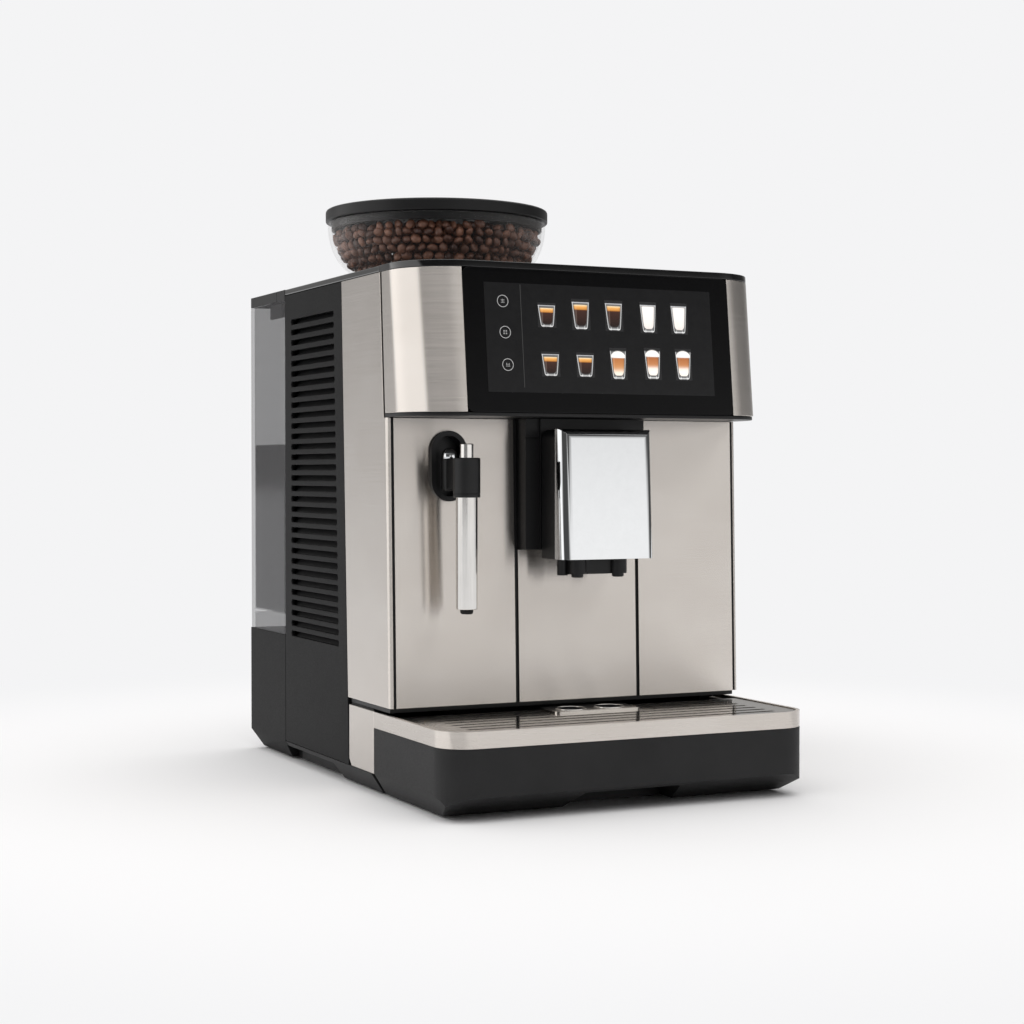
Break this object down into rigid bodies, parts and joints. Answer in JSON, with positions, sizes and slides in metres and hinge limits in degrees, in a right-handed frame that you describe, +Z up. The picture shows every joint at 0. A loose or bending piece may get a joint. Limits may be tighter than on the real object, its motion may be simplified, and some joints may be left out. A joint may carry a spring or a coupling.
{
  "type": "bean-to-cup coffee machine",
  "caption": "Countertop hot coffee machine with touch screen, sliding two-nozzle spout, swivelling steam wand, bean hopper, rear water tank and pull-out drip tray.",
  "frame": {"origin": "middle of the footprint's bounding box, on the floor under the feet", "axes": "+X to the right seen from the front, -Y towards the user, +Z up"},
  "size_m": [0.33, 0.477, 0.5054],
  "materials": {
    "brushed_steel": "brushed along X, satin",
    "polished_steel": "finely polished",
    "chrome": "mirror plated",
    "black_plastic": "fine moulded texture",
    "gloss_black": "polished lacquer",
    "screen": "glass front of a display",
    "rubber": "matt",
    "smoked_plastic": "smoked clear moulding",
    "clear_plastic": "clear moulding",
    "galvanised_steel": "zinc plated",
    "brass": "machined",
    "circuit_board": "solder resist",
    "grey_plastic": "moulded"
  },
  "bodies": {
    "casing": {"brew_group": "grey_plastic", "center_front_panel": "brushed_steel", "chassis_base": "black_plastic", "coffee_boiler": "brass", "control_board": "circuit_board", "deck_plate": "galvanised_steel", "display_panel": "screen", "foot_front_left": "rubber", "foot_front_right": "rubber", "foot_rear_left": "rubber", "foot_rear_right": "rubber", "grinder_housing": "grey_plastic", "grinder_motor": "galvanised_steel", "grounds_chute": "grey_plastic", "head_lid": "gloss_black", "head_plate": "black_plastic", "head_shell": "black_plastic", "left_front_panel": "brushed_steel", "left_head_corner": "brushed_steel", "left_lower_trim": "brushed_steel", "left_side_panel": "black_plastic", "power_inlet": "black_plastic", "power_supply": "grey_plastic", "rear_base": "black_plastic", "rear_bulkhead": "black_plastic", "right_front_panel": "brushed_steel", "right_head_corner": "brushed_steel", "right_lower_trim": "brushed_steel", "right_side_panel": "black_plastic", "screen_glass": "screen", "service_housing": "black_plastic", "spout_housing": "black_plastic", "steam_boiler": "galvanised_steel", "top_cover": "gloss_black", "upper_burr": "galvanised_steel", "wand_escutcheon": "black_plastic", "water_pump": "brass"},
    "tray_drawer": {"drip_tray": "black_plastic", "tray_trim": "brushed_steel", "grounds_bin": "black_plastic"},
    "grate": {"drip_grate": "polished_steel"},
    "float": {"tray_float": "grey_plastic"},
    "spout": {"spout_carriage": "black_plastic", "spout_body": "black_plastic", "spout_cover": "chrome", "coffee_outlet": "black_plastic", "milk_outlet": "black_plastic"},
    "steam_wand": {"wand_pivot": "black_plastic", "steam_joint": "chrome", "wand_grip": "black_plastic", "wand_tube": "polished_steel", "wand_tip": "rubber"},
    "hopper": {"hopper_bowl": "clear_plastic"},
    "hopper_cap": {"hopper_lid": "black_plastic"},
    "tank": {"water_tank": "smoked_plastic", "tank_valve": "black_plastic"},
    "tank_cap": {"tank_lid": "black_plastic"},
    "rocker": {"power_rocker": "black_plastic"},
    "burr_shaft": {"lower_burr": "galvanised_steel"},
    "piston": {"brew_piston": "galvanised_steel"}
  },
  "joints": [
    {"name": "tray_slide", "type": "slide", "parent": "casing", "child": "tray_drawer", "axis": [0, -1, 0], "range_m": [0, 0.13]},
    {"name": "grate_lift", "type": "slide", "parent": "tray_drawer", "child": "grate", "axis": [0, 0, 1], "range_m": [0, 0.06]},
    {"name": "float_rise", "type": "slide", "parent": "tray_drawer", "child": "float", "axis": [0, 0, 1], "range_m": [0, 0.006]},
    {"name": "spout_slide", "type": "slide", "parent": "casing", "child": "spout", "axis": [0, 0, 1], "range_m": [-0.06, 0.008]},
    {"name": "wand_swivel", "type": "hinge", "parent": "casing", "child": "steam_wand", "pos_m": [-0.1134, -0.1254, 0.27], "axis": [0, 0, 1], "range_deg": [-50, 50]},
    {"name": "hopper_lift", "type": "slide", "parent": "casing", "child": "hopper", "axis": [0, 0, 1], "range_m": [0, 0.09]},
    {"name": "hopper_lid_lift", "type": "slide", "parent": "hopper", "child": "hopper_cap", "axis": [0, 0, 1], "range_m": [0, 0.06]},
    {"name": "tank_lift", "type": "slide", "parent": "casing", "child": "tank", "axis": [0, 0.41, 0.9121], "range_m": [0, 0.12]},
    {"name": "tank_lid_hinge", "type": "hinge", "parent": "tank", "child": "tank_cap", "pos_m": [-0.0725, 0.2385, 0.4277], "axis": [-1, 0, 0], "range_deg": [0, 80]},
    {"name": "power_rock", "type": "hinge", "parent": "casing", "child": "rocker", "pos_m": [0.066, 0.2363, 0.062], "axis": [1, 0, 0], "range_deg": [-16, 0]},
    {"name": "burr_spin", "type": "hinge", "parent": "casing", "child": "burr_shaft", "pos_m": [-0.0466, 0.0548, 0.35], "axis": [0, 0, 1], "continuous": true},
    {"name": "piston_stroke", "type": "slide", "parent": "casing", "child": "piston", "axis": [0, 0, 1], "range_m": [0, 0.035]}
  ]
}
